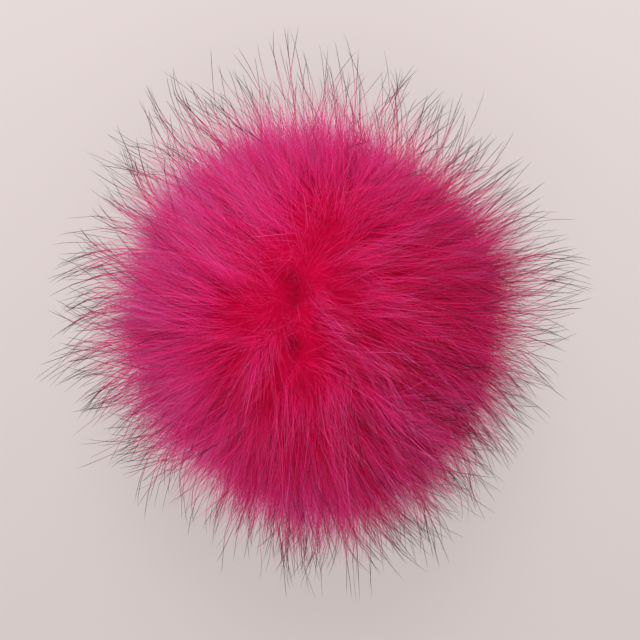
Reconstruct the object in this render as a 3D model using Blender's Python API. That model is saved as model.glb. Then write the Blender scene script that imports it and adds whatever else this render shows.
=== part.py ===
# Pom pom of long dyed fur: a disc of pelt gathered into a stuffed ball, resting on its gathered base.
# Metres, +Z up. The origin is the middle of the flat spot it rests on, and the hair's whorl is on top.
# The ball is one solid: a packed core of underfur with three-sided locks that part from it at their roots.

import math
import random

import bmesh
import bpy
from mathutils import Quaternion, Vector, noise

CORE_RADIUS = 0.052  # from the ball's middle to where the locks part
REACH = 0.082  # from the ball's middle to an average lock's tip
MIDDLE_HEIGHT = 0.056  # from the surface to the ball's middle
FLAT_RADIUS = 0.020  # of the flat spot, where the ball's weight presses the hair together
FLAT_CORNERS = 12
ON_FLOOR = 1e-6  # a corner no higher than this over the flat spot belongs to it
ROOT_POINTS = 154  # corners of the core; its 294 triangular faces each carry one lock
ROOT_JITTER = 0.20  # how far a corner strays from its even place, as a share of the corners' spacing
CLEAR_OF_FLAT = 0.75  # corners nearer the flat spot's edge than this share of the spacing are left out
ROOT_GAP = 0.0006  # half the gap between two neighbouring locks at their roots
REACH_VARIES = 0.05  # a lock's reach varies by this share
LEAN_VARIES = 0.08  # and its lean by this one
SWIRL = math.radians(24)  # neighbouring locks turn aside together by up to about this much
SWIRL_SCALE = 2.2  # lumps of such turning across the ball's radius
SEED = 11

WHORL = Vector((-0.112, 0.060, 1.0)).normalized()  # direction of the whorl from the ball's middle

ARM_WIDTH = 0.003  # the hair turns over across this much of the parting
PARTING_ENDS = 0.5  # angle from the whorl, in radians, up to which only the parting turns the hair
DOWNWARD_FROM = 1.7  # and past which it lies straight down

# The parting's three arms, as tangents from the whorl towards +X and +Y, in metres
PARTING_ARMS = (
    {"name": "upper", "end": Vector((0.010, 0.028))},
    {"name": "lower", "end": Vector((-0.004, -0.020))},
    {"name": "left", "end": Vector((-0.014, -0.006))},
)

# Lean of a lock away from the whorl, as the angle between its root and its tip seen from the ball's middle,
# its reach as a share of the average, and the core's radius as a share of CORE_RADIUS, larger near the flat
# spot, where the hair packs together under the ball
LOCKS_FROM_TOP = (
    {"angle": 0, "lean": 6, "reach": 0.93, "core": 1.0},
    {"angle": 12, "lean": 11, "reach": 0.95, "core": 1.0},
    {"angle": 30, "lean": 15, "reach": 0.98, "core": 1.0},
    {"angle": 60, "lean": 14, "reach": 1.0, "core": 1.0},
    {"angle": 90, "lean": 10, "reach": 1.0, "core": 1.0},
    {"angle": 112, "lean": 7, "reach": 1.0, "core": 1.0},
    {"angle": 130, "lean": 2, "reach": 1.0, "core": 1.02},
    {"angle": 160, "lean": -12, "reach": 1.0, "core": 1.14},
)

# A lock's cross-sections between its root and its tip
LOCK_SECTIONS = (
    {"reach": 0.18, "bend": 0.10, "width": 0.96},
    {"reach": 0.40, "bend": 0.32, "width": 0.78},
    {"reach": 0.64, "bend": 0.60, "width": 0.46},
    {"reach": 0.84, "bend": 0.84, "width": 0.20},
)

# Broad lumps of the coat: lobes round the ball, each standing proud by a share of the radius
LUMPS = (
    {"lobes": 2, "towards": math.radians(100), "share": 0.014},
    {"lobes": 3, "towards": math.radians(20), "share": 0.012},
    {"lobes": 5, "towards": math.radians(262), "share": 0.010},
)

# Two fuller places at the ball's side, each as wide as its spread
BULGES = (
    {"towards": math.radians(272), "spread": math.radians(24), "share": 0.050},
    {"towards": math.radians(24), "spread": math.radians(14), "share": 0.035},
)

MIDDLE = Vector((0, 0, MIDDLE_HEIGHT))
UP = Vector((0, 0, 1))
FUR_COLOUR = (0.52, 0.012, 0.10)  # hot pink, linear


def clear_scene():
    for thing in list(bpy.data.objects):
        bpy.data.objects.remove(thing, do_unlink=True)


def from_table(rows, key, value, at):
    """The value between a table's rows, in straight steps."""
    for low, high in zip(rows, rows[1:]):
        if at <= high[key]:
            share = max(0.0, (at - low[key]) / (high[key] - low[key]))
            return low[value] + share * (high[value] - low[value])
    return rows[-1][value]


def lump_share(direction):
    """How much larger the coat is than a true ball in this direction."""
    around = math.atan2(direction.y, direction.x)
    level = 1 - direction.z**2
    total = sum(row["share"] * math.cos(row["lobes"] * (around - row["towards"])) for row in LUMPS)
    for row in BULGES:
        aside = math.remainder(around - row["towards"], 2 * math.pi)
        total += row["share"] * math.exp(-((aside / row["spread"]) ** 2))
    return 1 + level * total


def core_radius(direction):
    """From the ball's middle to the core's surface."""
    angle = math.degrees(direction.angle(UP))
    return CORE_RADIUS * lump_share(direction) * from_table(LOCKS_FROM_TOP, "angle", "core", angle)


def flow_at(direction):
    """Unit tangent along which the hair lies: away from the parting on top, straight down further out."""
    offset = direction - WHORL * direction.dot(WHORL)
    here = Vector((offset.x, offset.y)) * CORE_RADIUS
    away = Vector((0.0, 0.0))
    for arm in PARTING_ARMS:
        along = max(0.0, min(1.0, here.dot(arm["end"]) / arm["end"].length_squared))
        from_arm = here - arm["end"] * along
        away += from_arm / max(from_arm.length_squared, ARM_WIDTH**2)
    share = max(0.0, min(1.0, (direction.angle(WHORL) - PARTING_ENDS) / (DOWNWARD_FROM - PARTING_ENDS)))
    aim = Vector((away.x, away.y, 0.0)).normalized() * (1 - share) - UP * share
    tangent = aim - direction * aim.dot(direction)
    return tangent.normalized()


def root_directions(rng):
    """Corners of the core, evenly wound round the ball and then strayed a little, clear of the flat spot."""
    spacing = math.sqrt(4 * math.pi / ROOT_POINTS)
    flat_edge = math.pi - math.atan(FLAT_RADIUS / MIDDLE_HEIGHT)
    golden = math.pi * (3 - math.sqrt(5))
    found = []
    for index in range(ROOT_POINTS):
        z = 1 - (2 * index + 1) / ROOT_POINTS
        ring = math.sqrt(1 - z * z)
        even = Vector((ring * math.cos(index * golden), ring * math.sin(index * golden), z))
        stray = Vector((rng.uniform(-1, 1), rng.uniform(-1, 1), rng.uniform(-1, 1))) * ROOT_JITTER * spacing
        place = (even + stray).normalized()
        if place.angle(UP) < flat_edge - CLEAR_OF_FLAT * spacing:
            found.append(place)
    return found


def build_core(mesh, directions):
    """Closes the corners into a ball of triangles and merges those of the flat spot into one face."""
    for direction in directions:
        mesh.verts.new(direction * MIDDLE_HEIGHT)
    edge = Vector((FLAT_RADIUS, 0, -MIDDLE_HEIGHT)).normalized()
    for corner in range(FLAT_CORNERS):
        turn = Quaternion(UP, 2 * math.pi * corner / FLAT_CORNERS)
        mesh.verts.new(turn @ edge * MIDDLE_HEIGHT)
    bmesh.ops.convex_hull(mesh, input=mesh.verts[:])
    bmesh.ops.recalc_face_normals(mesh, faces=mesh.faces[:])
    flat_z = edge.z * MIDDLE_HEIGHT + ON_FLOOR
    on_floor = [face for face in mesh.faces if all(vert.co.z < flat_z for vert in face.verts)]
    bmesh.ops.dissolve_faces(mesh, faces=on_floor)
    for vert in mesh.verts:
        direction = vert.co.normalized()
        if vert.co.z < flat_z:
            vert.co = MIDDLE + direction * MIDDLE_HEIGHT / -direction.z
            vert.co.z = 0.0
        else:
            vert.co = MIDDLE + direction * core_radius(direction)


def lock_place(root, flow, lean, reach, share, bend):
    """A point of a lock's middle line, and the turn that carries the root's section there."""
    turn = Quaternion(root.cross(flow), lean * bend)
    direction = turn @ root
    limit = reach
    if direction.z < 0:
        limit = min(reach, MIDDLE_HEIGHT / -direction.z)
    start = core_radius(root)
    return MIDDLE + direction * (start + (limit - start) * share), turn


def grow_lock(mesh, face, rng):
    """Draws one face of the core out into a tapering lock that leans with the hair."""
    bmesh.ops.inset_individual(mesh, faces=[face], thickness=ROOT_GAP, use_even_offset=True)
    middle = face.calc_center_median()
    root = (middle - MIDDLE).normalized()
    corners = [vert.co - middle for vert in face.verts]
    flow = Quaternion(root, SWIRL * noise.noise(root * SWIRL_SCALE)) @ flow_at(root)
    angle = math.degrees(root.angle(UP))
    lean = math.radians(from_table(LOCKS_FROM_TOP, "angle", "lean", angle))
    lean *= 1 + rng.uniform(-LEAN_VARIES, LEAN_VARIES)
    reach = REACH * lump_share(root) * from_table(LOCKS_FROM_TOP, "angle", "reach", angle)
    reach *= 1 + rng.uniform(-REACH_VARIES, REACH_VARIES)
    for section in LOCK_SECTIONS:
        place, turn = lock_place(root, flow, lean, reach, section["reach"], section["bend"])
        face = bmesh.ops.extrude_discrete_faces(mesh, faces=[face])["faces"][0]
        offsets = [(turn @ corner) * section["width"] for corner in corners]
        lowest = min(place.z + offset.z for offset in offsets)
        place.z -= min(0.0, lowest)
        for vert, offset in zip(face.verts, offsets):
            vert.co = place + offset
    tip, _ = lock_place(root, flow, lean, reach, 1.0, 1.0)
    tip.z = max(tip.z, 0.0)
    face = bmesh.ops.extrude_discrete_faces(mesh, faces=[face])["faces"][0]
    bmesh.ops.pointmerge(mesh, verts=face.verts[:], merge_co=tip)


def fur_material():
    material = bpy.data.materials.new("pink_fur")
    material.use_nodes = True
    shader = material.node_tree.nodes["Principled BSDF"]
    shader.inputs["Base Color"].default_value = (*FUR_COLOUR, 1)
    shader.inputs["Roughness"].default_value = 0.85
    shader.inputs["Metallic"].default_value = 0.0
    return material


def build_fur_ball():
    rng = random.Random(SEED)
    mesh = bmesh.new()
    build_core(mesh, root_directions(rng))
    for face in [face for face in mesh.faces if len(face.verts) == 3]:
        grow_lock(mesh, face, rng)
    data = bpy.data.meshes.new("fur_ball")
    mesh.to_mesh(data)
    mesh.free()
    data.materials.append(fur_material())
    ball = bpy.data.objects.new("fur_ball", data)
    bpy.context.scene.collection.objects.link(ball)
    return ball


clear_scene()
build_fur_ball()
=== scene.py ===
import math

import bpy
import numpy as np
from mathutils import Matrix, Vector, kdtree, noise


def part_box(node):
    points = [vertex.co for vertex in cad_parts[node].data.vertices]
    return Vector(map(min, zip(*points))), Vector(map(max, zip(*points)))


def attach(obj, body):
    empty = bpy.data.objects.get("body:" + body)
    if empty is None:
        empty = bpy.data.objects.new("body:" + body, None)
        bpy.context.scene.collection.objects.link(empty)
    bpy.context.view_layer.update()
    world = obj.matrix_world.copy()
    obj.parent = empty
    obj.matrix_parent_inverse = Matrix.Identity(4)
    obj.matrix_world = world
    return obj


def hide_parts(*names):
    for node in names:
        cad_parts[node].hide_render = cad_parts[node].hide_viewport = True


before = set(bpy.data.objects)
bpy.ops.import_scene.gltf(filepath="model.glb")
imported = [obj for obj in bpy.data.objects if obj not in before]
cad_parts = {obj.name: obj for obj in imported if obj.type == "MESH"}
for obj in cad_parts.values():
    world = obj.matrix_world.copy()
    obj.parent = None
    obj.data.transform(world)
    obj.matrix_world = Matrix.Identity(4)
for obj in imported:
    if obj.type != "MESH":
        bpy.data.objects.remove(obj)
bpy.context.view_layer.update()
low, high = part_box("fur_ball")
solidWidth = (high.x - low.x + high.y - low.y) / 2  # across the locks' tips
print("frame loaded, the solid is", round(solidWidth * 1000), "mm wide and", round(high.z * 1000), "mm high")

# the ball that every piece grows on: metres and radians, but degrees where a row says so
ball = {
    "middle": np.array((0.0, 0.0, 0.056)),  # over the flat spot that the ball rests on
    "whorl": np.array((-0.112, 0.060, 0.992)),  # towards the whorl on top, seen from the middle
    "partingRadius": 0.06,  # of the ball on which the parting's arms are measured
    "armEnds": ((0.010, 0.028), (-0.0005, -0.0175), (-0.014, -0.006), (-0.001, 0.0075)),  # from the whorl
    "armWidth": 0.003,  # the hair turns over across this much of an arm
    "partingWidth": 0.0035,  # and stands up across this much
    "partingEnds": 0.5,  # angle from the whorl up to which only the parting turns the hair
    "downwardFrom": 1.7,  # and past which it hangs straight down
    "swirl": math.radians(24),  # neighbouring hairs turn aside together by up to about this much
    "swirlScale": 2.2,  # lumps of such turning across the ball's radius
    # where the hair is brushed aside, in degrees: where round the whorl, how far out, and by how much
    "turns": (
        {"around": 68, "width": 22, "out": 60, "outWidth": 60, "by": 28},
        {"around": 330, "width": 26, "out": 50, "outWidth": 50, "by": -16},
        {"around": 300, "width": 12, "out": 50, "outWidth": 50, "by": 10},
        {"around": 190, "width": 22, "out": 25, "outWidth": 22, "by": -24},
        {"around": 190, "width": 22, "out": 85, "outWidth": 25, "by": 15},
        {"around": 15, "width": 20, "out": 30, "outWidth": 25, "by": -14},
    ),
    "creaseRadius": 0.056,  # of the ball on which the creases are measured
    "creases": (
        {"from": (-0.0066, 0.0099), "to": (-0.0056, 0.0022), "width": 0.0020, "depth": 1.0},
        {"from": (-0.0056, 0.0022), "to": (-0.0074, -0.0006), "width": 0.0018, "depth": 1.0},
        {"from": (-0.0064, -0.0116), "to": (-0.0060, -0.0148), "width": 0.0021, "depth": 1.0},
        {"from": (-0.0205, -0.0050), "to": (-0.0175, -0.0056), "width": 0.0010, "depth": 0.6},
        {"from": (-0.0190, -0.0200), "to": (-0.0185, -0.0205), "width": 0.0045, "depth": 0.45},
    ),
    # broad lumps of the coat: how many round the ball, towards where, and by which share of the radius
    "lobes": ((2, math.radians(100), 0.014), (3, math.radians(20), 0.012), (5, math.radians(262), 0.010)),
    # fuller and flatter places at the side: towards where, how wide, and by which share
    "bulges": (
        (math.radians(282), math.radians(24), 0.085),
        (math.radians(13), math.radians(18), 0.085),
        (math.radians(95), math.radians(18), 0.025),
        (math.radians(236), math.radians(18), -0.040),
    ),
    "leanAngles": (0, 12, 30, 60, 90, 112, 130, 160),  # degrees from straight up
    "leans": (6, 11, 15, 14, 10, 7, 2, -12),  # degrees by which hair leans over between root and tip
    "flatEdge": math.radians(164),  # angle from straight up past which nothing grows
}


def unit(vectors):
    tiny = 1e-12  # so that a zero vector stays zero
    return vectors / np.maximum(np.linalg.norm(vectors, axis=-1, keepdims=True), tiny)


def asideBy(around, towards, width, half=180):
    # how far round the ball from a place, the shorter way, in its own widths
    return ((around - towards + half) % (2 * half) - half) / width


def bump(distance):
    # 1 in the middle, falling to 0 within about two widths
    return np.exp(-(distance**2))


def degreesAround(vectors):
    return np.degrees(np.arctan2(vectors[:, 1], vectors[:, 0]))


def whorlAngle(directions):
    return np.arccos(np.clip(directions @ unit(ball["whorl"]), -1, 1))


def smoothNoise(directions, scale, shift):
    return np.array([noise.noise(Vector(d) * scale + Vector((shift, 0, 0))) for d in directions])


def evenDirections(count, rng, stray):
    # golden-angle points over the whole ball, each strayed by a share of the spacing
    index = np.arange(count)
    z = 1 - (2 * index + 1) / count
    turn = index * math.pi * (3 - math.sqrt(5))
    ring = np.sqrt(1 - z * z)
    even = np.stack((ring * np.cos(turn), ring * np.sin(turn), z), axis=1)
    spacing = math.sqrt(4 * math.pi / count)
    return unit(even + rng.uniform(-1, 1, (count, 3)) * stray * spacing)


def offTheBase(directions):
    # leaves out what would grow from the flat spot under the ball
    return directions[directions[:, 2] > math.cos(ball["flatEdge"])]


def lumpShare(directions):
    # how much larger the coat is than a true ball
    around = np.arctan2(directions[:, 1], directions[:, 0])
    level = 1 - directions[:, 2] ** 2
    total = sum(share * np.cos(lobes * (around - towards)) for lobes, towards, share in ball["lobes"])
    for towards, width, share in ball["bulges"]:
        total = total + share * bump(asideBy(around, towards, width, math.pi))
    return 1 + level * total


def besideWhorl(directions):
    # places on top as seen along the whorl, from its middle
    whorl = unit(ball["whorl"])
    return (directions - directions @ whorl[:, None] * whorl)[:, :2] * ball["partingRadius"]


def fromArms(places):
    # for each arm of the parting, the way to each place from the arm's nearest point
    for end in ball["armEnds"]:
        end = np.array(end)
        along = np.clip(places @ end / (end @ end), 0, 1)
        yield places - along[:, None] * end


def turnAside(directions, flow, turn):
    # each hair's flow turned about its root by its own angle
    side = np.cross(directions, flow)
    return flow * np.cos(turn)[:, None] + side * np.sin(turn)[:, None]


def hairFlow(directions):
    # unit tangents along which the hair lies: off the parting on top, straight down further out
    places = besideWhorl(directions)
    away = np.zeros_like(places)
    for fromArm in fromArms(places):
        square = np.maximum((fromArm**2).sum(axis=1, keepdims=True), ball["armWidth"] ** 2)
        away += fromArm / square
    angle = whorlAngle(directions)
    span = ball["downwardFrom"] - ball["partingEnds"]
    down = np.clip((angle - ball["partingEnds"]) / span, 0, 1)[:, None]
    aim = np.concatenate((unit(away), np.zeros((len(away), 1))), axis=1) * (1 - down)
    aim[:, 2] -= down[:, 0]
    tangent = unit(aim - (aim * directions).sum(axis=1, keepdims=True) * directions)
    twist = smoothNoise(directions, ball["swirlScale"], 0) * ball["swirl"]
    around = degreesAround(places)
    for row in ball["turns"]:
        aside = asideBy(around, row["around"], row["width"])
        out = (np.degrees(angle) - row["out"]) / row["outWidth"]
        twist += math.radians(row["by"]) * np.exp(-(aside**2) - out**2)
    return turnAside(directions, tangent, twist)


def leanAt(directions):
    angle = np.degrees(np.arccos(np.clip(directions[:, 2], -1, 1)))
    return np.radians(np.interp(angle, ball["leanAngles"], ball["leans"]))


def partingShare(directions):
    # 1 on the parting's arms, falling to 0 beside them: hair stands up there
    nearest = np.full(len(directions), 1.0)
    for fromArm in fromArms(besideWhorl(directions)):
        nearest = np.minimum(nearest, np.linalg.norm(fromArm, axis=1))
    return bump(nearest / ball["partingWidth"]) * (directions[:, 2] > 0)


def creaseShare(directions):
    # 1 in the small hollows beside the whorl where the coat opens down to the crimson underfur
    places = directions[:, :2] * ball["creaseRadius"]
    deepest = np.zeros(len(directions))
    for row in ball["creases"]:
        start = np.array(row["from"])
        length = np.array(row["to"]) - start
        along = np.clip((places - start) @ length / (length @ length), 0, 1)
        aside = np.linalg.norm(places - start - along[:, None] * length, axis=1)
        deepest = np.maximum(deepest, row["depth"] * bump(aside / row["width"]))
    return deepest * (directions[:, 2] > 0)


# hair that would pass through the surface under the ball
onFloor = {
    "leastFall": 0.05,  # hair that points down by less than this never gets there
    "past": 1.06,  # share of the way to the surface at which a tip ends, before it turns outwards
    "depth": 0.004,  # layer in which such hair packs
    "spread": 0.6,  # outwards, as a share of what it is raised by
}


def hairPaths(roots, flow, lean, start, reach, shares, bendPower):
    # middle lines of many hairs at once: hair, station, axis
    bend = lean[:, None] * shares[None, :] ** bendPower
    aim = roots[:, None, :] * np.cos(bend)[..., None] + flow[:, None, :] * np.sin(bend)[..., None]
    fall = -aim[:, -1, 2]
    toFloor = ball["middle"][2] / np.maximum(fall, onFloor["leastFall"])
    tip = np.where(fall > onFloor["leastFall"], np.minimum(reach, onFloor["past"] * toFloor), reach)
    radius = start[:, None] + (tip - start)[:, None] * shares[None, :]
    return ball["middle"] + aim * radius[..., None]


def layOnFloor(paths):
    # hair near the floor, or bound to pass through it, turns outwards and packs in a layer along it
    depth = onFloor["depth"]
    lowest = np.minimum(paths[..., 2], depth)
    raised = depth * np.exp(lowest / depth - 1) - lowest
    paths[..., :2] += unit(paths[..., :2]) * (onFloor["spread"] * raised)[..., None]
    paths[..., 2] += raised
    return paths


def modelHair(name, rings):
    # a three-sided tapering hair one unit long, cut into rings of (share of length, width)
    bpy.ops.object.select_all(action="DESELECT")
    bpy.ops.mesh.primitive_cone_add(vertices=3, radius1=1, radius2=0, depth=1, location=(0, 0, 0.5))
    hair = bpy.context.object
    hair.name = name
    bpy.ops.object.transform_apply(location=True, rotation=True, scale=True)
    bpy.ops.object.mode_set(mode="EDIT")
    for share, _ in rings[1:]:
        bpy.ops.mesh.select_all(action="SELECT")
        bpy.ops.mesh.bisect(plane_co=(0, 0, share), plane_no=(0, 0, 1))
    bpy.ops.object.mode_set(mode="OBJECT")
    sameHeight = 1e-4
    for vertex in hair.data.vertices:
        for share, width in rings:
            if abs(vertex.co.z - share) < sameHeight:
                across = math.hypot(vertex.co.x, vertex.co.y)
                vertex.co.x *= width / across
                vertex.co.y *= width / across
    return hair


def hairTemplate(name, rings):
    # what joinHairs needs of the modelled hair: its corners' places, stations along it, and faces
    hair = modelHair(name, rings)
    points = np.array([vertex.co for vertex in hair.data.vertices])
    corners = [list(face.vertices) for face in hair.data.polygons]
    heights = np.round(points[:, 2], 4)
    shares = np.unique(heights)
    bpy.data.objects.remove(hair, do_unlink=True)
    return {
        "across": points[:, :2],
        "station": np.searchsorted(shares, heights),
        "shares": shares,
        "corners": corners,
    }


# the hairs' map: tone from left to right, share of a hair's length from bottom to top
hairMap = {
    "span": 0.98,  # of the map that is used
    "margin": 0.01,  # kept free below it
    "least": 0.001,  # and nothing lies nearer its edges than this
    "most": 0.999,
    "across": 0.002,  # half the width that one hair takes
}


def mapHairs(mesh, template, loops, shares, tones):
    across = template["across"]
    layer = mesh.uv_layers.new(name="OFBake")
    turn = np.arctan2(across[:, 1], across[:, 0])
    offTip = np.hypot(across[:, 0], across[:, 1]) > 1e-6
    spread = np.where(offTip, np.cos(turn), 0.0) * hairMap["across"]
    u = tones[:, None] * hairMap["span"] + hairMap["margin"] + spread[loops][None, :]
    u = np.clip(u, hairMap["least"], hairMap["most"])
    v = np.broadcast_to(shares[template["station"]][loops] * hairMap["span"] + hairMap["margin"], u.shape)
    layer.data.foreach_set("uv", np.stack((u, v), axis=2).reshape(-1).astype(np.float32))


def joinHairs(name, template, shares, paths, sides, widths, tones, material, softness):
    # one mesh of every hair: the template set along each path
    paths[..., 2] = np.maximum(paths[..., 2], widths[:, None])
    along = unit(np.gradient(paths, axis=1))
    up = unit(np.cross(along, sides[:, None, :]))
    side = np.cross(up, along)
    at = template["station"]
    across = template["across"]
    arms = side[:, at] * across[None, :, :1] + up[:, at] * across[None, :, 1:]
    vertices = paths[:, at] + arms * widths[:, None, None]
    loops = np.array([corner for face in template["corners"] for corner in face])
    sizes = np.array([len(face) for face in template["corners"]])
    starts = np.concatenate(([0], np.cumsum(sizes)[:-1]))
    count = len(paths)
    hair = np.arange(count)[:, None]
    mesh = bpy.data.meshes.new(name)
    mesh.vertices.add(count * len(across))
    mesh.vertices.foreach_set("co", vertices.reshape(-1).astype(np.float32))
    mesh.loops.add(count * len(loops))
    mesh.loops.foreach_set("vertex_index", (loops[None, :] + hair * len(across)).ravel())
    mesh.polygons.add(count * len(sizes))
    mesh.polygons.foreach_set("loop_start", (starts[None, :] + hair * len(loops)).ravel())
    mesh.update(calc_edges=True)
    mesh.shade_smooth()
    mapHairs(mesh, template, loops, shares, tones)
    outward = unit(paths[:, at] - ball["middle"])
    normals = unit(outward * softness + unit(arms) * (1 - softness))  # soft light, as from the whole coat
    mesh.normals_split_custom_set_from_vertices(normals.reshape(-1, 3).tolist())
    mesh.materials.append(material)
    piece = bpy.data.objects.new(name, mesh)
    bpy.context.scene.collection.objects.link(piece)
    print(name, count, "hairs,", count * int((sizes - 2).sum()), "triangles")
    return piece


class Wire:
    # a shader socket that Python's operators can work on
    def __init__(self, tree, socket=None):
        self.tree = tree
        self.socket = socket

    def node(self, kind, settings, values, output=0):
        made = self.tree.nodes.new(kind)
        for key, value in settings.items():
            if key == "stops":
                self.setRamp(made.color_ramp, value)
            else:
                setattr(made, key, value)
        for key, value in values.items():
            if isinstance(value, Wire):
                self.tree.links.new(value.socket, made.inputs[key])
            else:
                made.inputs[key].default_value = value
        return Wire(self.tree, made.outputs[output] if made.outputs else None)

    def setRamp(self, ramp, stops):
        while len(ramp.elements) < len(stops):
            ramp.elements.new(0.5)
        for element, (place, colour) in zip(ramp.elements, stops):
            element.position = place
            element.color = (*colour, 1)

    def output(self, index):
        # another output of the same node
        return Wire(self.tree, self.socket.node.outputs[index])

    def math(self, operation, first, second):
        return self.node("ShaderNodeMath", {"operation": operation}, {0: first, 1: second})

    def __add__(self, other):
        return self.math("ADD", self, other)

    def __radd__(self, other):
        return self.math("ADD", other, self)

    def __mul__(self, other):
        return self.math("MULTIPLY", self, other)

    def __rmul__(self, other):
        return self.math("MULTIPLY", other, self)

    def mix(self, kind, share, first, second):
        settings = {"data_type": "RGBA", "blend_type": kind}
        return self.node("ShaderNodeMix", settings, {0: share, 6: first, 7: second}, output=2)  # its colours

    def finish(self, values):
        # the shader and the output that end a material
        surface = self.node("ShaderNodeBsdfPrincipled", {}, values)
        self.node("ShaderNodeOutputMaterial", {}, {0: surface})


def newMaterial(name):
    material = bpy.data.materials.new(name)
    material.use_nodes = True
    tree = material.node_tree
    for old in list(tree.nodes):
        tree.nodes.remove(old)
    return material, Wire(tree)


# a hair's tone, from 0 to 1, partly its own and partly painted light and shade, and the colours that its own
# colour is multiplied by
toneScale = {
    "deepest": 0.40,  # colour at 0, as a share of the dark one: painted shade, reached mostly in the creases and the shade
    "darkAt": 0.08,
    "plainAt": 0.5,
}


def furMaterial(look):
    # colour from the map: along the hair by v, darker or paler by u
    material, wire = newMaterial(look["name"])
    place = wire.node("ShaderNodeUVMap", {"uv_map": "OFBake"}, {})
    tone = wire.node("ShaderNodeSeparateXYZ", {}, {0: place})
    along = tone.output(1)
    colour = wire.node("ShaderNodeValToRGB", {"stops": look["stops"]}, {0: along})
    deepest = tuple(toneScale["deepest"] * value for value in look["dark"])
    tones = (
        (0, deepest),
        (toneScale["darkAt"], look["dark"]),
        (toneScale["plainAt"], (1, 1, 1)),
        (1, look["pale"]),
    )
    shade = wire.node("ShaderNodeValToRGB", {"stops": tones}, {0: tone})
    wire.finish({"Base Color": wire.mix("MULTIPLY", 1.0, colour, shade), **look["finish"]})
    return material


view = {
    "distance": 0.60,
    "elevation": math.radians(84),
    "fieldWidth": 0.2048,  # across the frame at the ball's middle
    "ballCentre": (312, 321),  # in the frame, in pixels from its top left corner
    "frameSize": 640,
    "sensor": 36,  # mm
}


def addCamera():
    camera = bpy.data.cameras.new("photo_view")
    camera.sensor_width = view["sensor"]
    camera.lens = view["sensor"] * view["distance"] / view["fieldWidth"]
    holder = bpy.data.objects.new("photo_view", camera)
    bpy.context.scene.collection.objects.link(holder)
    back = Vector((0, -math.cos(view["elevation"]), math.sin(view["elevation"])))
    turn = (-back).to_track_quat("-Z", "Y")
    perPixel = view["fieldWidth"] / view["frameSize"]
    half = view["frameSize"] / 2
    across, down = view["ballCentre"]
    aside = turn @ Vector(((half - across) * perPixel, (down - half) * perPixel, 0))
    holder.location = Vector(ball["middle"]) + back * view["distance"] + aside
    holder.rotation_mode = "QUATERNION"
    holder.rotation_quaternion = turn
    holder.rotation_mode = "XYZ"
    bpy.context.scene.camera = holder


# places and sizes in metres, power in watts
lights = (
    {"name": "key", "at": (-0.06, 0.80, 1.5), "size": 0.8, "power": 18, "colour": (1.0, 0.98, 0.96)},
    {"name": "fill", "at": (-0.05, -0.95, 1.3), "size": 1.2, "power": 12, "colour": (1.0, 0.97, 0.96)},
)
studio = {"colour": (1.0, 0.97, 0.96, 1), "strength": 0.60}


def addLights():
    for row in lights:
        light = bpy.data.lights.new(row["name"], "AREA")
        light.energy = row["power"]
        light.size = row["size"]
        light.color = row["colour"]
        holder = bpy.data.objects.new(row["name"], light)
        bpy.context.scene.collection.objects.link(holder)
        holder.location = row["at"]
        aim = Vector(ball["middle"]) - holder.location
        holder.rotation_euler = aim.to_track_quat("-Z", "Y").to_euler()
    world = bpy.data.worlds.new("studio")
    bpy.context.scene.world = world
    world.use_nodes = True
    background = world.node_tree.nodes["Background"]
    background.inputs[0].default_value = studio["colour"]
    background.inputs[1].default_value = studio["strength"]


# pale paper with painted shade in its colour and glow, a little darker away from the key light
paper = {
    "size": 40,
    "shades": ((0.40, (0.76, 0.76, 0.76)), (0.58, (1.01, 1.01, 1.01))),  # painted shade, placed by half of Y plus 0.5
    "colour": (0.20, 0.179, 0.176, 1),
    "glow": (0.70, 0.62, 0.61, 1),
    "glowStrength": 0.72,
    "roughness": 0.9,
}


def addFloor():
    bpy.ops.object.select_all(action="DESELECT")
    bpy.ops.mesh.primitive_plane_add(size=paper["size"], location=(0, 0, 0))
    floor = bpy.context.object
    floor.name = "floor"
    material, wire = newMaterial("pale_floor")
    place = wire.node("ShaderNodeTexCoord", {}, {}, output=3)  # Object coordinates
    ahead = wire.node("ShaderNodeSeparateXYZ", {}, {0: place}, output=1)  # Y
    shade = wire.node("ShaderNodeValToRGB", {"stops": paper["shades"]}, {0: ahead * 0.5 + 0.5})
    wire.finish({
        "Base Color": wire.mix("MULTIPLY", 1.0, paper["colour"], shade),
        "Roughness": paper["roughness"],
        "Emission Color": wire.mix("MULTIPLY", 1.0, paper["glow"], shade),
        "Emission Strength": paper["glowStrength"],
    })
    floor.data.materials.append(material)


addCamera()
addLights()
addFloor()
bpy.context.scene.view_settings.view_transform = "Standard"
print("camera, lights and floor set")

core = {
    "radius": 0.0510,
    "underneath": 0.060,  # radius on the underside, where the hair packs together
    "underFrom": 0.6,  # how steeply down a direction points where the radius starts to grow
    "underSpan": 0.3,  # and over how much more it has grown
    "subdivisions": 5,
    "grooves": 0.0012,
    "grooveScale": 9,
    "grooveShift": 3.0,
    "hollow": 0.0045,  # depth of a full crease
    "colour": (0.48, 0.001, 0.042, 1),
    "deepColour": (0.28, 0.001, 0.022, 1),
    # painted shade for the creases
    "paintedHollowShade": (0.27, 0.001, 0.018, 1),
    "patchScale": 160.0,
    "patchDetail": 3.0,
    "roughness": 0.9,
    "specular": 0.03,
}


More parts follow.
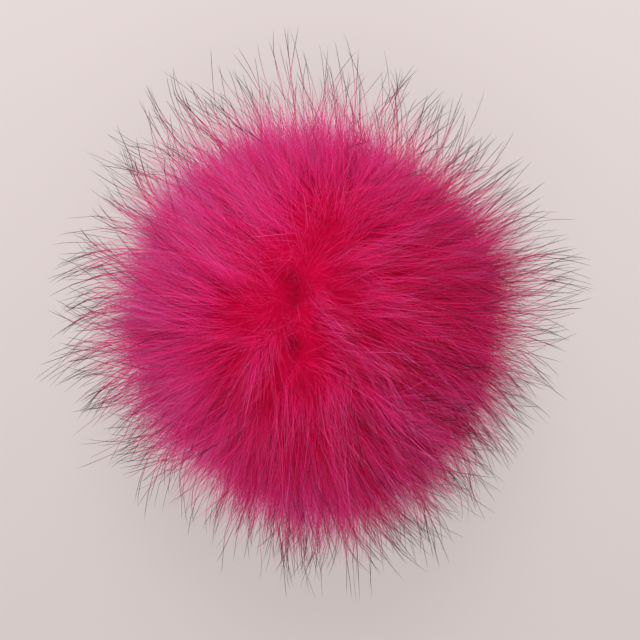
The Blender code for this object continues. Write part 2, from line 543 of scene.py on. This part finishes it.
def addCore():
    bpy.ops.object.select_all(action="DESELECT")
    bpy.ops.mesh.primitive_ico_sphere_add(subdivisions=core["subdivisions"], radius=1, location=(0, 0, 0))
    ballOfFur = bpy.context.object
    ballOfFur.name = "packed_underfur"
    mesh = ballOfFur.data
    directions = unit(np.array([vertex.co for vertex in mesh.vertices]))
    rough = smoothNoise(directions, core["grooveScale"], core["grooveShift"]) * core["grooves"]
    down = np.clip((-directions[:, 2] - core["underFrom"]) / core["underSpan"], 0, 1)
    crease = creaseShare(directions)
    radius = core["radius"] + (core["underneath"] - core["radius"]) * down - core["hollow"] * crease
    places = ball["middle"] + directions * (radius * lumpShare(directions) + rough)[:, None]
    places[:, 2] = np.maximum(places[:, 2], 0.0)
    mesh.vertices.foreach_set("co", places.reshape(-1).astype(np.float32))
    hollow = mesh.attributes.new("hollow", "FLOAT", "POINT")
    hollow.data.foreach_set("value", crease.astype(np.float32))
    mesh.update()
    mesh.shade_smooth()
    return ballOfFur


def packedMaterial():
    # crimson underfur in darker patches, with painted shade in the creases
    material, wire = newMaterial("packed_underfur")
    place = wire.node("ShaderNodeTexCoord", {}, {}, output=3)  # Object coordinates
    grain = {"Vector": place, "Scale": core["patchScale"], "Detail": core["patchDetail"]}
    patches = wire.node("ShaderNodeTexNoise", {}, grain)
    hollow = wire.node("ShaderNodeAttribute", {"attribute_name": "hollow"}, {}, output=2)  # its number
    packed = wire.mix("MIX", patches, core["colour"], core["deepColour"])
    wire.finish({
        # painted shade where the creases are
        "Base Color": wire.mix("MIX", hollow, packed, core["paintedHollowShade"]),
        "Roughness": core["roughness"],
        "Specular IOR Level": core["specular"],
    })
    return material


# each fur's colours from root to tip, and what its darkest and palest hairs are multiplied by
underfurLook = {
    "name": "pink_underfur",
    "stops": (
        (0.0, (0.34, 0.001, 0.022)),
        (0.35, (0.72, 0.006, 0.105)),
        (0.70, (0.81, 0.033, 0.235)),
        (1.0, (0.85, 0.210, 0.530)),
    ),
    "dark": (0.68, 0.05, 0.20),
    "pale": (1.09, 2.2, 1.6),
    "finish": {"Roughness": 0.8, "Specular IOR Level": 0.03},
}
guardLook = {
    "name": "dark_tipped_hair",
    "stops": (
        (0.0, (0.78, 0.008, 0.12)),
        (0.44, (0.70, 0.008, 0.12)),
        (0.68, (0.46, 0.008, 0.075)),
        (0.775, (0.10, 0.005, 0.024)),
        (0.855, (0.008, 0.004, 0.005)),
        (1.0, (0.014, 0.008, 0.008)),
    ),
    "dark": (0.6, 0.6, 0.6),
    "pale": (1.1, 1.6, 1.5),
    "finish": {"Roughness": 0.5, "Specular IOR Level": 0.06},
}
# pale pink hairs whose colour is partly painted highlight
brightLook = {
    "name": "pale_pink_hair_painted_highlight",
    "stops": ((0.0, (0.80, 0.01, 0.15)), (0.4, (0.93, 0.05, 0.32)), (1.0, (0.96, 0.19, 0.54))),
    "dark": (0.8, 0.5, 0.6),
    "pale": (1.05, 1.6, 1.3),
    "finish": {"Roughness": 0.45, "Specular IOR Level": 0.4},
}
underfur = furMaterial(underfurLook)
guard = furMaterial(guardLook)
bright = furMaterial(brightLook)
packed = packedMaterial()

body = addCore()
body.data.materials.append(packed)
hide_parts("fur_ball")
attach(body, "root")
print("packed underfur ready")

# clumps that neighbouring hairs draw together in; splay is in radians
underfurClumpSpec = {
    "count": 2600,
    "stray": 0.8,
    "seed": 3,
    "splay": 0.40,
    "lean": 1.15,
    "leanVaries": (0.85, 1.2),
    "reachVaries": 0.04,
    "toneVaries": 0.5,
}
guardClumpSpec = {
    "count": 420,
    "stray": 0.8,
    "seed": 5,
    "splay": 0.42,
    "lean": 1.1,
    "leanVaries": (0.85, 1.2),
    "reachVaries": 0.045,
    "toneVaries": 0.5,
}


def growClumps(spec):
    rng = np.random.default_rng(spec["seed"])
    roots = evenDirections(spec["count"], rng, spec["stray"])
    parting = partingShare(roots)
    turn = rng.normal(0, spec["splay"] + parting)
    leanVaries = rng.uniform(*spec["leanVaries"], len(roots))
    return {
        "roots": roots,
        "flow": turnAside(roots, hairFlow(roots), turn),
        "turn": turn,
        "lean": leanAt(roots) * (1 - parting) * spec["lean"] * leanVaries,
        "reach": rng.normal(1, spec["reachVaries"], len(roots)),
        "tone": rng.normal(0, spec["toneVaries"], len(roots)),
    }


def nearestClump(directions, clumps):
    tree = kdtree.KDTree(len(clumps["roots"]))
    for index, direction in enumerate(clumps["roots"]):
        tree.insert(direction, index)
    tree.balance()
    return np.array([tree.find(direction)[1] for direction in directions])


# what all four furs share; angles are degrees from the whorl or, with "towards", round the ball from +X
coat = {
    "rootStray": 0.9,
    "shadeTowards": -50,  # the lower right, which lies in shade
    "shadeWidth": 40,
    "creaseThins": 0.9,  # share of the hair that a full crease lacks
    "partingSplay": 1.5,  # radians by which hair on the parting points anywhere
    "partingStands": 0.9,  # share of its lean that it lacks
    "partingShorter": 0.05,
    "creaseShorter": 0.10,
    "underFrom": 0.55,  # as in core, a little sooner
    "underSpan": 0.3,
    "shortest": 0.003,
    "topLonger": 0.05,  # share by which the longest hair may be longer towards +Y
    "guideLength": 0.015,  # of the clump that hair is drawn to
    "drawn": (0.2, 1.0),  # least and most of its clump that a hair takes on
    "drawPower": 1.3,  # along the hair
    "waves": (2, 6),  # radians of wave along a hair
    "wavePhase": (0, 6.28),  # any, in radians
    "waveLimit": 2.5,  # times the usual wave
    "widthVaries": (0.7, 1.25),
    "usualLonger": 0.6,  # hairs longer than usual are thicker
    "widthAngles": (0, 15, 30, 55, 75),  # at which each fur's widthShares hold
    "contrastAngles": (0, 25, 55),
    "contrast": (0.62, 0.85, 1.1),  # between the tones of hairs
    "shadeContrast": 0.85,  # which the shade adds
    "toneAngles": (0, 25, 60, 75, 100),
    "toneShifts": (-0.14, -0.12, 0.06, 0.24, 0.38),  # painted shade on top, painted light towards the rim and below
    # painted shade on the parting
    "paintedPartingShade": 0.15,
    "paintedLightUpwards": 0.20,  # painted light, paler towards +Y
    "paintedLightLeftwards": 0.36,  # painted light, paler towards -X
    "allDarker": 0.04,
    # painted shade in the creases
    "paintedCreaseShade": 0.8,
    "shadeDeepens": 0.7,  # share by which the shade lowers the darkest tone, as a crease does in full
}


def keptHairs(spec, rng):
    # roots thinned by their angle from the whorl, in the creases and at the sparse places
    roots = offTheBase(evenDirections(spec["count"], rng, coat["rootStray"]))
    angle = np.degrees(whorlAngle(roots))
    around = degreesAround(roots)
    shaded = bump((around - coat["shadeTowards"]) / coat["shadeWidth"])
    share = 1 - spec["shadeOnly"] * (1 - shaded)
    for towards, width, thinner in spec.get("sparse", ()):
        share *= 1 - thinner * bump(asideBy(around, towards, width))
    share *= 1 - coat["creaseThins"] * creaseShare(roots)
    kept = rng.uniform(0, 1, len(roots)) < np.interp(angle, spec["keptAngles"], spec["kept"]) * share
    roots = roots[kept]
    return {
        "count": len(roots),
        "roots": roots,
        "angle": angle[kept],
        "shaded": shaded[kept],
        "parting": partingShare(roots),
        "crease": creaseShare(roots),
    }


def aimHairs(hairs, spec, clumps, rng):
    # each hair's way over the ball, and how far it leans over
    roots = hairs["roots"]
    hairs["clump"] = nearestClump(roots, clumps)
    splay = spec["splay"] + coat["partingSplay"] * hairs["parting"]
    turn = clumps["turn"][hairs["clump"]] + rng.normal(0, splay)
    hairs["flow"] = turnAside(roots, hairFlow(roots), turn)
    varied = rng.normal(spec["lean"], spec["leanVaries"], hairs["count"])
    hairs["lean"] = leanAt(roots) * varied * (1 - coat["partingStands"] * hairs["parting"])


def measureHairs(hairs, spec, clumps, rng):
    # where each hair starts and how far it reaches, from the ball's middle
    roots = hairs["roots"]
    count = hairs["count"]
    hairs["longer"] = abs(rng.normal(0, 1, count))
    reach = spec["reach"] + rng.normal(0, spec["reachVaries"], count) + hairs["longer"] * spec["tail"]
    shorter = 1 - coat["partingShorter"] * hairs["parting"] - coat["creaseShorter"] * hairs["crease"]
    reach *= lumpShare(roots) * clumps["reach"][hairs["clump"]] * shorter
    down = np.clip((-roots[:, 2] - coat["underFrom"]) / coat["underSpan"], 0, 1)
    under = (core["underneath"] - core["radius"]) * down
    start = spec["start"] + under
    reach += under
    around = degreesAround(roots)
    for towards, width, share in spec.get("longer", ()):
        reach *= 1 + share * bump(asideBy(around, towards, width)) * (1 - roots[:, 2] ** 2)
    longest = spec["longest"] * (1 + coat["topLonger"] * np.maximum(roots[:, 1], 0) ** 2)
    hairs["start"] = start
    hairs["reach"] = np.clip(reach, start + coat["shortest"], longest)


def bendHairs(hairs, spec, clumps, shares, rng):
    # each hair's middle line, drawn to its clump's and waved
    middle = ball["middle"]
    along = (shares, spec["bendPower"])
    paths = hairPaths(hairs["roots"], hairs["flow"], hairs["lean"], hairs["start"], hairs["reach"], *along)
    start = np.full(len(clumps["roots"]), spec["start"])
    reach = start + coat["guideLength"]
    guides = hairPaths(clumps["roots"], clumps["flow"], clumps["lean"], start, reach, *along)[hairs["clump"]]
    radial = np.linalg.norm(paths - middle, axis=2, keepdims=True)
    drawn = spec["clump"] * rng.uniform(*coat["drawn"], hairs["count"]) * (1 - hairs["parting"])
    pull = drawn[:, None, None] * (shares ** coat["drawPower"])[None, :, None]
    aim = unit(paths - middle) * (1 - pull) + unit(guides - middle) * pull
    paths = middle + unit(aim) * radial
    each = (hairs["count"], 1)
    wave = np.sin(shares[None, :] * rng.uniform(*coat["waves"], each) + rng.uniform(*coat["wavePhase"], each))
    size = np.minimum(rng.exponential(spec["wave"], each), coat["waveLimit"] * spec["wave"])
    side = np.cross(hairs["roots"], hairs["flow"])
    paths += side[:, None, :] * (wave * shares[None, :] * size)[..., None]
    return layOnFloor(paths), side


def hairWidths(hairs, spec, rng):
    varied = rng.uniform(*coat["widthVaries"], hairs["count"])
    widths = spec["width"] * varied * (1 + spec["thicker"] * (hairs["longer"] - coat["usualLonger"]))
    return widths * np.interp(hairs["angle"], coat["widthAngles"], spec["widthShares"])


def hairTones(hairs, spec, clumps, rng):
    # painted light and shade in the tones: pale at the rim and towards the upper left, dark on the parting,
    # in the creases and in the shade
    roots = hairs["roots"]
    angle = hairs["angle"]
    varied = rng.normal(0, spec["toneVaries"], hairs["count"])
    tones = varied + spec["clumpTone"] * clumps["tone"][hairs["clump"]]
    contrast = np.interp(angle, coat["contrastAngles"], coat["contrast"])
    tones *= contrast + coat["shadeContrast"] * hairs["shaded"]
    shift = np.interp(angle, coat["toneAngles"], coat["toneShifts"])
    tones += toneScale["plainAt"] + shift - coat["paintedPartingShade"] * hairs["parting"]
    # painted light, paler towards the upper left where the key light falls
    paintedSideLight = coat["paintedLightUpwards"] * roots[:, 1] - coat["paintedLightLeftwards"] * roots[:, 0]
    tones += paintedSideLight - coat["allDarker"] - coat["paintedCreaseShade"] * hairs["crease"]
    deepens = np.maximum(hairs["crease"], coat["shadeDeepens"] * hairs["shaded"])
    return np.clip(tones, toneScale["darkAt"] * (1 - deepens), 1)


def growCoat(name, spec, template, clumps, material):
    rng = np.random.default_rng(spec["seed"])
    shares = spec["from"] + (1 - spec["from"]) * template["shares"]
    hairs = keptHairs(spec, rng)
    aimHairs(hairs, spec, clumps, rng)
    measureHairs(hairs, spec, clumps, rng)
    paths, side = bendHairs(hairs, spec, clumps, shares, rng)
    widths = hairWidths(hairs, spec, rng)
    tones = hairTones(hairs, spec, clumps, rng)
    return joinHairs(name, template, shares, paths, side, widths, tones, material, spec["softness"])


# for each fur: start, reach and longest are metres from the ball's middle, tail is what longer hairs add,
# width is half a hair's thickness, splay is in radians, and hair begins at the share of its line under "from"
underfurSpec = {
    "rings": ((0, 1.0), (0.5, 0.62)),
    "count": 18500,
    "seed": 20,
    "splay": 0.20,
    "lean": 1.15,
    "leanVaries": 0.3,
    "start": 0.0475,
    "from": 0.0,
    "reach": 0.0509,
    "reachVaries": 0.0008,
    "tail": 0.0070,
    "longest": 0.080,
    "bendPower": 1.3,
    "clump": 0.60,
    "wave": 0.0015,
    "width": 0.000060,
    "thicker": 0.5,
    "widthShares": (0.65, 0.75, 0.88, 1.0, 1.0),
    "keptAngles": (0, 180),
    "kept": (1, 1),
    "shadeOnly": 0.0,
    "toneVaries": 0.14,
    "clumpTone": 0.32,
    "softness": 0.7,
}
fuzzSpec = {
    **underfurSpec,
    "rings": ((0, 1.0),),
    "count": 49000,
    "seed": 30,
    "splay": 0.32,
    "lean": 1.1,
    "leanVaries": 0.35,
    "from": 0.3,
    "reach": 0.0505,
    "reachVaries": 0.0010,
    "tail": 0.0103,
    "clump": 0.50,
    "wave": 0.0008,
    "width": 0.000042,
    "thicker": 0.8,
}
fuzzTemplate = hairTemplate("fuzz_hair", fuzzSpec["rings"])
underfurTemplate = hairTemplate("soft_hair", underfurSpec["rings"])
underfurClumps = growClumps(underfurClumpSpec)
pieces = []
halves = 2  # each of these furs is two pieces, so that none passes 200,000 triangles
for index in range(halves):
    spec = dict(underfurSpec, seed=underfurSpec["seed"] + index)
    pieces.append(growCoat(f"underfur_{index + 1}", spec, underfurTemplate, underfurClumps, underfur))
    spec = dict(fuzzSpec, seed=fuzzSpec["seed"] + index)
    pieces.append(growCoat(f"fuzz_{index + 1}", spec, fuzzTemplate, underfurClumps, underfur))

guardSpec = {
    "rings": ((0, 0.35), (0.28, 0.45), (0.48, 0.7), (0.64, 1.0), (0.80, 1.0), (0.92, 0.75)),
    "count": 5100,
    "seed": 40,
    "splay": 0.20,
    "lean": 1.15,
    "leanVaries": 0.20,
    "start": 0.053,
    "from": 0.0,
    "reach": 0.0760,
    "reachVaries": 0.0042,
    "tail": 0.0022,
    "longest": 0.0905,
    # longer and, further down, sparse places: towards where and how wide, in degrees, and by which share
    "longer": ((115, 35, 0.070), (50, 40, 0.030), (190, 25, 0.010), (240, 18, -0.070), (285, 30, -0.070)),
    "bendPower": 1.5,
    "clump": 0.60,
    "wave": 0.0013,
    "width": 0.000075,
    "thicker": 0.0,
    "widthShares": (0.65, 0.85, 1.15, 1.2, 1.0),
    "keptAngles": (0, 15, 40, 70, 90),
    "kept": (0.06, 0.18, 0.46, 0.8, 0.92),
    "sparse": ((238, 17, 0.6), (90, 75, 0.34), (0, 40, 0.28), (180, 40, 0.1)),
    "shadeOnly": 0.0,
    "toneVaries": 0.30,
    "clumpTone": 0.2,
    "softness": 0.2,
}
guardTemplate = hairTemplate("long_hair", guardSpec["rings"])
guardClumps = growClumps(guardClumpSpec)
pieces.append(growCoat("guard_hair", guardSpec, guardTemplate, guardClumps, guard))

# hairs with painted highlight in their colour, kept mostly in the shaded lower right
brightSpec = {
    "rings": ((0, 0.6), (0.35, 1.0), (0.7, 0.8)),
    "count": 5000,
    "seed": 60,
    "splay": 0.26,
    "lean": 1.4,
    "leanVaries": 0.35,
    "start": 0.054,
    "from": 0.0,
    "reach": 0.0645,
    "reachVaries": 0.0040,
    "tail": 0.0010,
    "longest": 0.080,
    "bendPower": 1.1,
    "clump": 0.35,
    "wave": 0.0012,
    "width": 0.000040,
    "thicker": 0.0,
    "widthShares": (0.65, 0.75, 0.88, 1.0, 1.0),
    "keptAngles": (0, 15, 35, 70, 90),
    "kept": (0.1, 0.3, 0.8, 1.0, 0.5),
    "shadeOnly": 0.85,
    "toneVaries": 0.3,
    "clumpTone": 0.4,
    "softness": 0.5,
}
brightTemplate = hairTemplate("bright_hair", brightSpec["rings"])
pieces.append(growCoat("bright_hair", brightSpec, brightTemplate, guardClumps, bright))
for piece in pieces:
    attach(piece, "root")
